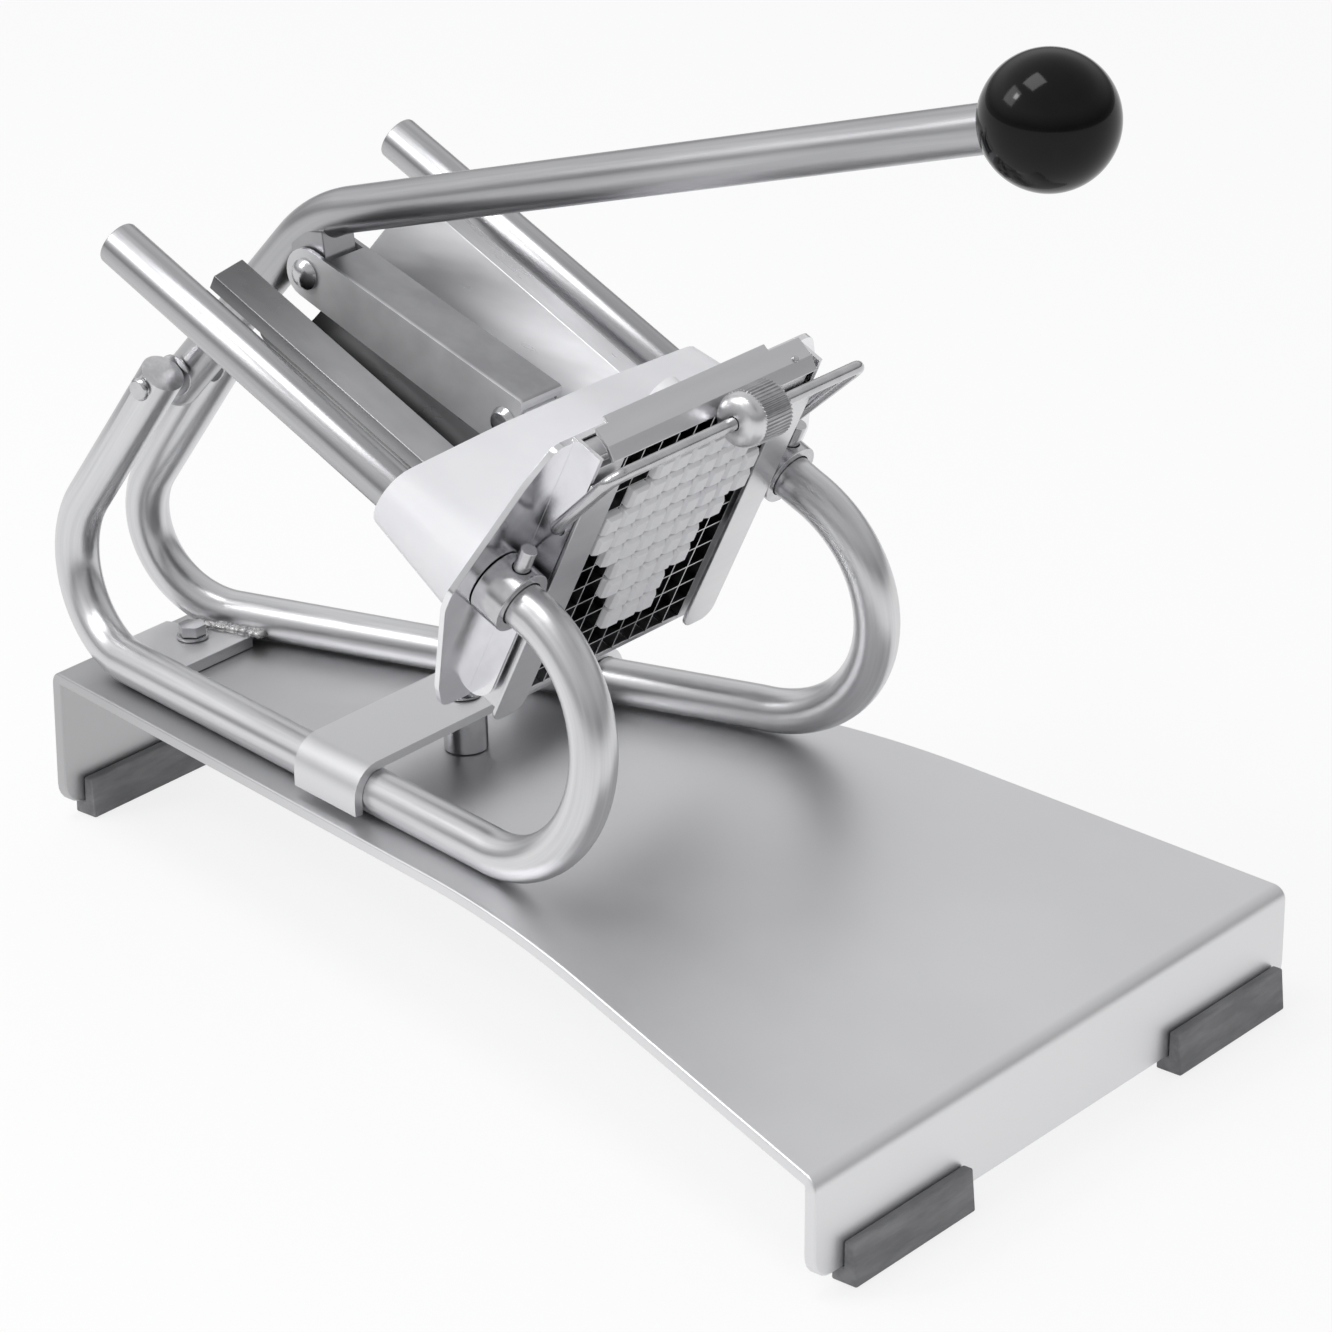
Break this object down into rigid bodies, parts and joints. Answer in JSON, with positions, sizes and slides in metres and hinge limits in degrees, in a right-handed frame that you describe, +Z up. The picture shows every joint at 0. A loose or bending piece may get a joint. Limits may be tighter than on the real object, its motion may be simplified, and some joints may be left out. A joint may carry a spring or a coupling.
{
  "type": "french fry cutter",
  "caption": "Lever operated french fry cutter: a white carriage with pegs slides on two guide rods and presses a potato through an upright knife grid, on a bent steel base.",
  "frame": {"origin": "middle of the bounding box on the surface that the feet stand on", "axes": "+X towards the ball grip at the front, +Z up, +Y to the left of someone who looks along +X"},
  "size_m": [0.4939, 0.2924, 0.4141],
  "materials": {
    "satin_steel": "satin stainless steel",
    "base_steel": "matt bead-blasted stainless sheet",
    "polished_steel": "polished stainless steel",
    "knife_steel": "ground knife steel",
    "white_plastic": "smooth white moulding",
    "black_plastic": "glossy black moulding",
    "grey_rubber": "matt dark grey rubber"
  },
  "bodies": {
    "frame": {"frame_tube_left": "satin_steel", "frame_tube_right": "satin_steel", "rear_cross_plate": "satin_steel", "saddle_strap": "satin_steel", "guide_strip_left": "satin_steel", "guide_strip_right": "satin_steel", "guide_rod_left": "satin_steel", "guide_rod_right": "satin_steel", "cassette_frame": "satin_steel", "cassette_top_strip": "satin_steel", "rear_washer": "polished_steel", "rear_bolt": "polished_steel", "rear_nut": "polished_steel", "standoff_post": "polished_steel", "post_bolt": "polished_steel", "post_nut": "polished_steel", "head_plate": "polished_steel", "collar_left": "polished_steel", "collar_right": "polished_steel", "set_screw_left": "polished_steel", "set_screw_right": "polished_steel", "trough": "polished_steel", "pivot_pin": "polished_steel", "pivot_washer_left": "polished_steel", "pivot_washer_right": "polished_steel", "base_plate": "base_steel", "knife_grid": "knife_steel", "foot_front_left": "grey_rubber", "foot_front_right": "grey_rubber", "foot_rear": "grey_rubber"},
    "lever": {"lever": "satin_steel", "ball_grip": "black_plastic", "link_bolt": "polished_steel", "link_nut": "polished_steel"},
    "link": {"link": "satin_steel", "link_pin_left": "polished_steel", "link_pin_right": "polished_steel"},
    "pusher": {"carriage": "white_plastic", "peg_plate": "white_plastic"},
    "bail": {"retaining_bail": "polished_steel"},
    "knob": {"knurled_knob": "satin_steel"}
  },
  "joints": [
    {"name": "lever_hinge", "type": "hinge", "parent": "frame", "child": "lever", "pos_m": [-0.189, 0, 0.1976], "axis": [0, -1, 0], "range_deg": [0, 75]},
    {"name": "link_hinge", "type": "hinge", "parent": "lever", "child": "link", "pos_m": [-0.11451, 0, 0.2582], "axis": [0, 1, 0], "range_deg": [0, 62.2]},
    {"name": "pusher_slide", "type": "slide", "parent": "frame", "child": "pusher", "axis": [-0.9063, 0, 0.4226], "range_m": [0, 0.12]},
    {"name": "bail_hinge", "type": "hinge", "parent": "frame", "child": "bail", "pos_m": [0.05715, 0, 0.21578], "axis": [0, 1, 0], "range_deg": [0, 75]},
    {"name": "knob_turn", "type": "hinge", "parent": "bail", "child": "knob", "pos_m": [0.08991, 0, 0.24629], "axis": [0, 1, 0], "continuous": true}
  ],
  "couplings": [
    {"joint": "link_hinge", "follows": "lever_hinge", "ratio": 0.82596},
    {"joint": "pusher_slide", "follows": "lever_hinge", "m_per_rad": 0.091305}
  ]
}
